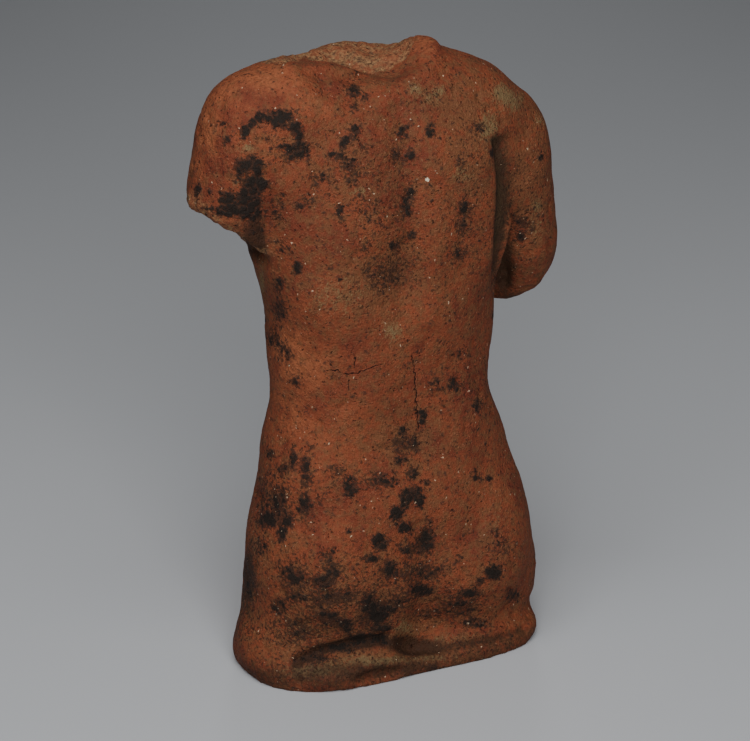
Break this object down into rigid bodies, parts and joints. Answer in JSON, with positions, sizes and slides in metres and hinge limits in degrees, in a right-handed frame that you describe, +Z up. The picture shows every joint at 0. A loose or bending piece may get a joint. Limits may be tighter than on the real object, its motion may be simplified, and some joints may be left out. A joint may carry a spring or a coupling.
{
  "type": "terracotta votive torso",
  "caption": "Fired clay votive figure of a nude torso, broken at the neck, the arms and the thighs, standing upright on its flat underside.",
  "frame": {"origin": "on the surface it stands on, below the middle of the trunk", "axes": "+Z up along the figure's height, -Y the way the figure faces, +X the figure's own left"},
  "size_m": [0.0898, 0.0425, 0.1414],
  "materials": {
    "terracotta": "matt low-fired red clay, weathered, with dark mottled stains and buff soil in the hollows"
  },
  "bodies": {
    "root": {"torso": "terracotta"}
  },
  "joints": []
}
